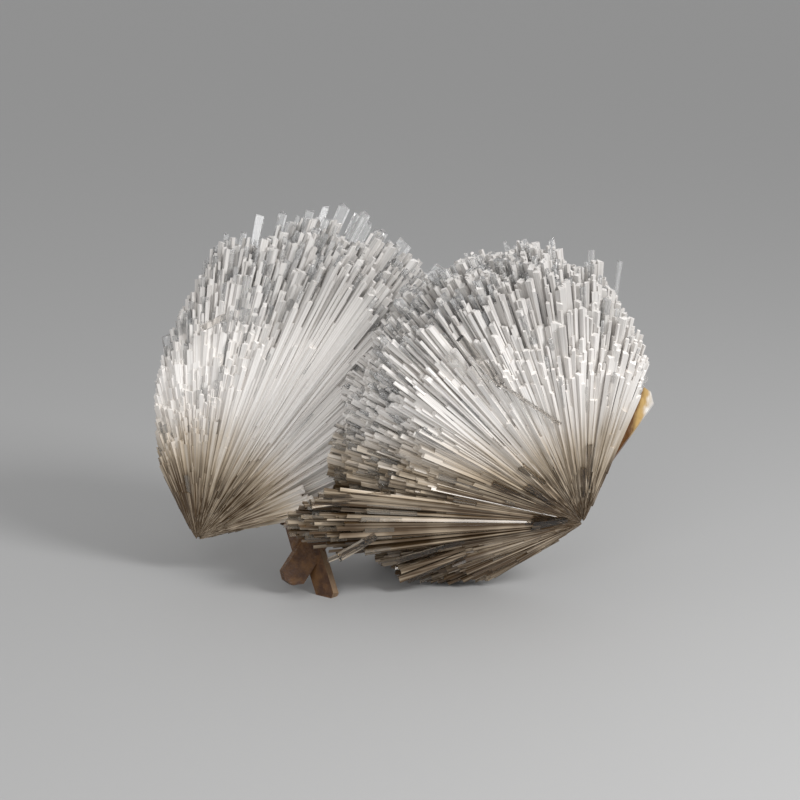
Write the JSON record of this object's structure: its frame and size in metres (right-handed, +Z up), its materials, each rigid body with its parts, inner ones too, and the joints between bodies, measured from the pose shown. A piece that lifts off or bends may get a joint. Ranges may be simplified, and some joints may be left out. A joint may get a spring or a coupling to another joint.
{
  "type": "scolecite cluster",
  "caption": "Mineral cluster of intergrown sprays of clear to white needle-like prisms, standing on brown stilbite blades.",
  "frame": {"origin": "on the ground, under the middle of the cluster's bounding box", "axes": "+Z up, +X to the viewer's right along the row of two sprays, -Y towards the viewer in front"},
  "size_m": [0.1004, 0.0594, 0.0752],
  "materials": {
    "scolecite": "clear to milky vitreous prisms, stained brown towards the points they grow from",
    "stilbite": "dull orange brown crystal with a pearly edge",
    "white_blade": "white pearly crystal with a yellow brown root"
  },
  "bodies": {
    "root": {"scolecite_sprays": "scolecite", "stilbite_front": "stilbite", "stilbite_back": "stilbite", "side_blade": "white_blade"}
  },
  "joints": []
}
